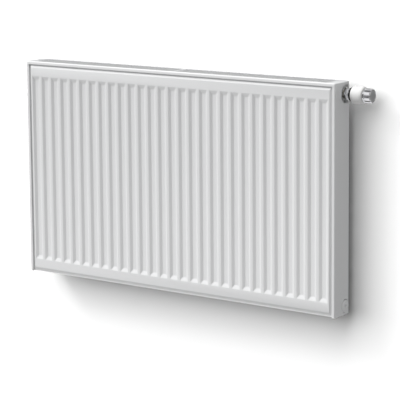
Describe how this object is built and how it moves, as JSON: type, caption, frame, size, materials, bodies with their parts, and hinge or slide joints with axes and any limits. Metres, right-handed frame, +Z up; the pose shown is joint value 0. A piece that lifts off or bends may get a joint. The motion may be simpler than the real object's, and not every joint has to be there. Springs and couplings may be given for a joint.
{
  "type": "panel radiator with thermostatic valve",
  "caption": "White double-panel steel radiator with fluted front, slotted cover grille, side panels, wall brackets and a thermostatic valve head at the top right.",
  "frame": {"origin": "on the wall plane, at mid-length and mid-height of the radiator", "axes": "+X along the radiator towards the valve end, +Y into the wall, +Z up; the front panel faces -Y"},
  "size_m": [1.0845, 0.102, 0.6],
  "materials": {
    "white_lacquer": "semi-gloss stoved white lacquer",
    "white_plastic": "fine satin moulded white",
    "black_plastic": "matt black",
    "grey_plastic": "plain moulded grey",
    "chrome": "bright chrome",
    "satin_metal": "satin nickel",
    "zinc_steel": "zinc plated",
    "brass": "machined brass",
    "spring_steel": "bright drawn wire",
    "rubber": "black rubber"
  },
  "bodies": {
    "radiator": {"blank_plug_left": "white_lacquer", "blank_plug_right": "white_lacquer", "convector_sheet": "white_lacquer", "front_panel_inner_sheet": "white_lacquer", "front_panel_outer_sheet": "white_lacquer", "grille_clip_front_left": "grey_plastic", "grille_clip_front_right": "grey_plastic", "grille_clip_rear_left": "grey_plastic", "grille_clip_rear_right": "grey_plastic", "hanging_lug_lower_left": "white_lacquer", "hanging_lug_lower_right": "white_lacquer", "hanging_lug_upper_left": "white_lacquer", "hanging_lug_upper_right": "white_lacquer", "head_body": "white_plastic", "hook_liner_lower_left": "grey_plastic", "hook_liner_lower_right": "grey_plastic", "hook_liner_upper_left": "grey_plastic", "hook_liner_upper_right": "grey_plastic", "plug_seal_left": "rubber", "plug_seal_right": "rubber", "rear_panel_inner_sheet": "white_lacquer", "rear_panel_outer_sheet": "white_lacquer", "return_nipple": "brass", "riser_pipe": "zinc_steel", "safety_latch_left": "grey_plastic", "safety_latch_right": "grey_plastic", "shadow_ring": "black_plastic", "side_clip_lower_left": "grey_plastic", "side_clip_lower_right": "grey_plastic", "side_clip_upper_left": "grey_plastic", "side_clip_upper_right": "grey_plastic", "stem_seal": "rubber", "supply_nipple": "brass", "tee_bottom_left": "white_lacquer", "tee_bottom_right": "white_lacquer", "tee_top_left": "white_lacquer", "tee_top_right": "white_lacquer", "union_nut": "chrome", "valve_insert": "brass", "valve_seat": "brass", "valve_spring": "spring_steel", "vent_plug": "brass", "vent_seal": "rubber", "wall_bracket_left": "zinc_steel", "wall_bracket_right": "zinc_steel"},
    "cover": {"cover_grille": "white_lacquer"},
    "left_end": {"side_panel_left": "white_lacquer"},
    "right_end": {"side_panel_right": "white_lacquer"},
    "wheel": {"handwheel": "chrome", "end_cap": "satin_metal"},
    "sensor": {"sensor_capsule": "satin_metal", "push_rod": "satin_metal"},
    "stem": {"valve_stem": "satin_metal", "valve_disc_seal": "rubber"},
    "bleed": {"vent_screw": "brass"}
  },
  "joints": [
    {"name": "cover_lift", "type": "slide", "parent": "radiator", "child": "cover", "axis": [0, 0, 1], "range_m": [0, 0.06]},
    {"name": "left_end_off", "type": "slide", "parent": "radiator", "child": "left_end", "axis": [-1, 0, 0], "range_m": [0, 0.06]},
    {"name": "right_end_off", "type": "slide", "parent": "radiator", "child": "right_end", "axis": [1, 0, 0], "range_m": [0, 0.09]},
    {"name": "wheel_turn", "type": "hinge", "parent": "radiator", "child": "wheel", "pos_m": [0.5, -0.049, 0.268], "axis": [1, 0, 0], "range_deg": [-120, 120]},
    {"name": "sensor_travel", "type": "slide", "parent": "radiator", "child": "sensor", "axis": [1, 0, 0], "range_m": [-0.0016, 0.0016]},
    {"name": "stem_travel", "type": "slide", "parent": "radiator", "child": "stem", "axis": [1, 0, 0], "range_m": [-0.0016, 0.0016], "deforming": ["valve_spring"]},
    {"name": "bleed_turn", "type": "hinge", "parent": "radiator", "child": "bleed", "pos_m": [-0.5, -0.049, 0.268], "axis": [-1, 0, 0], "range_deg": [0, 360]}
  ],
  "couplings": [
    {"joint": "sensor_travel", "follows": "wheel_turn", "m_per_rad": 0.000763},
    {"joint": "stem_travel", "follows": "wheel_turn", "m_per_rad": 0.000763}
  ]
}
